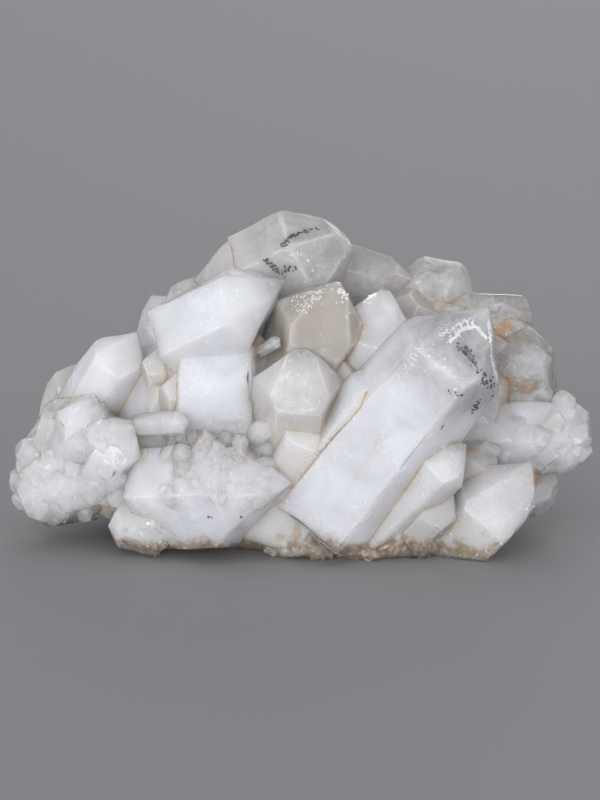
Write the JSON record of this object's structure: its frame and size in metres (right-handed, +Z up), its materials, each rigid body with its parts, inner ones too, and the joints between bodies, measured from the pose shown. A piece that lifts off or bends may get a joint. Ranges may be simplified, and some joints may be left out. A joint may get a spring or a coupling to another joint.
{
  "type": "quartz crystal cluster",
  "caption": "Free-standing cluster of milky quartz points with clear tips, grown together on a lump of rough, lightly iron-stained quartz that rests on a flat cut base.",
  "frame": {"origin": "on the surface that the cluster stands on, under the middle of its bounding box", "axes": "+Z up, +X along the cluster's long side towards the blunt block, -Y towards the viewer who sees the large leaning point"},
  "size_m": [0.1118, 0.0644, 0.0627],
  "materials": {
    "quartz": "glassy crystal faces over milky white quartz, clear towards the tips, with rust-brown stain in the seams and on the base"
  },
  "bodies": {
    "root": {"quartz_cluster": "quartz"}
  },
  "joints": []
}
